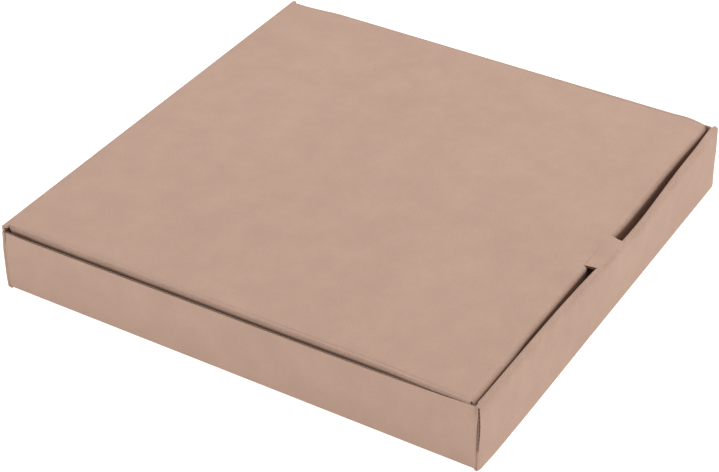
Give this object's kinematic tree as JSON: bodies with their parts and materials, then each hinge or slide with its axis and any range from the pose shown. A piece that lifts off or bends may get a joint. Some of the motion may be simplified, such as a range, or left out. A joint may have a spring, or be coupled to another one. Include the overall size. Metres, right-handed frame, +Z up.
{
  "type": "pizza box",
  "caption": "Square shallow pizza box folded from brown corrugated board, with a rolled-over front wall and a creased lid that locks with a tab at its front.",
  "frame": {"origin": "middle of the underside", "axes": "+Z up; -Y towards the rolled front wall, where the lid's tab locks; +Y towards the back wall and its hinge crease; X across the side walls"},
  "size_m": [0.33, 0.33, 0.0468],
  "materials": {
    "kraft_board": "matte brown kraft liner over fine fluting"
  },
  "bodies": {
    "tray": {"tray": "kraft_board"},
    "lid": {"lid": "kraft_board"}
  },
  "joints": [
    {"name": "lid_hinge", "type": "hinge", "parent": "tray", "child": "lid", "pos_m": [0, 0.16425, 0.046], "axis": [-1, 0, 0], "range_deg": [0, 180]}
  ]
}
